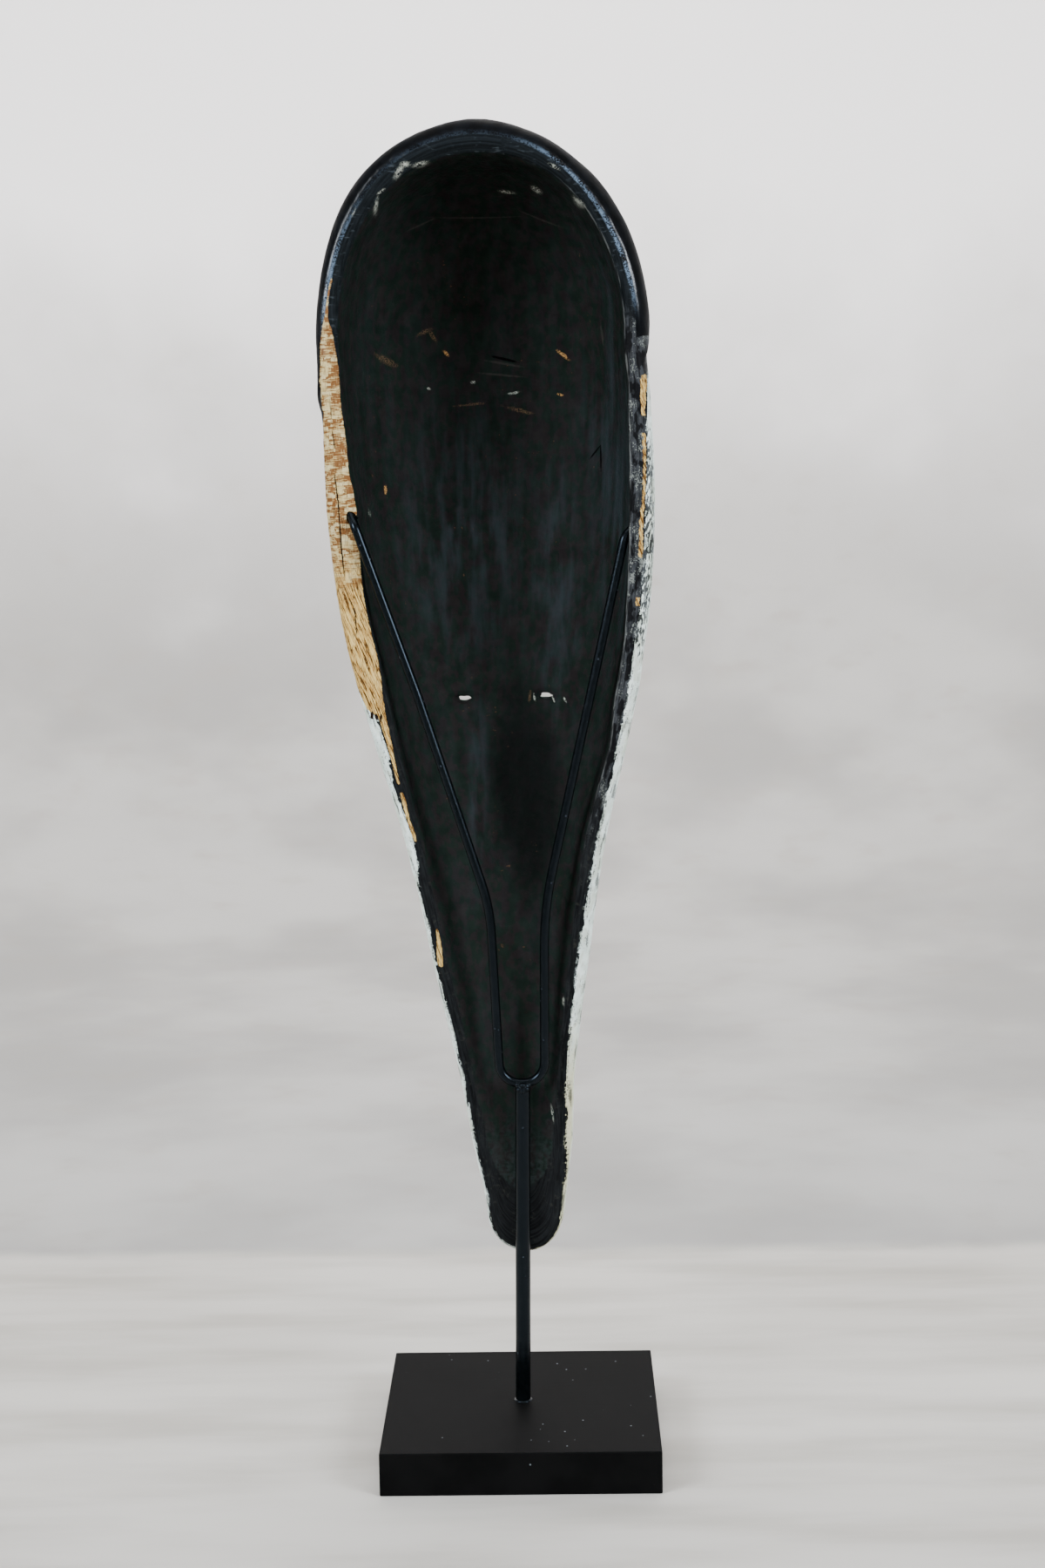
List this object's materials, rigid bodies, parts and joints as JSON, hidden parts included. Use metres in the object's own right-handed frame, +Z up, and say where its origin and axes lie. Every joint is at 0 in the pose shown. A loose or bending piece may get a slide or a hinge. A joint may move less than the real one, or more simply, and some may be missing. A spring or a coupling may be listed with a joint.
{
  "type": "carved mask on stand",
  "caption": "Tall hollow carved wooden mask with a long nose and slit eyes, held from behind by a forked steel rod on a square block.",
  "frame": {"origin": "centre of the underside of the square foot", "axes": "+Z up, +Y the way the mask looks, +X to the right when seen from behind the mask"},
  "size_m": [0.2159, 0.2227, 0.8666],
  "materials": {
    "foot_paint": "satin black paint on wood",
    "rod_paint": "satin black",
    "carved_wood": "black stain and worn chalk-white paint over pale wood"
  },
  "bodies": {
    "root": {"foot": "foot_paint", "post": "rod_paint", "weld": "rod_paint", "fork": "rod_paint", "mask": "carved_wood"}
  },
  "joints": []
}
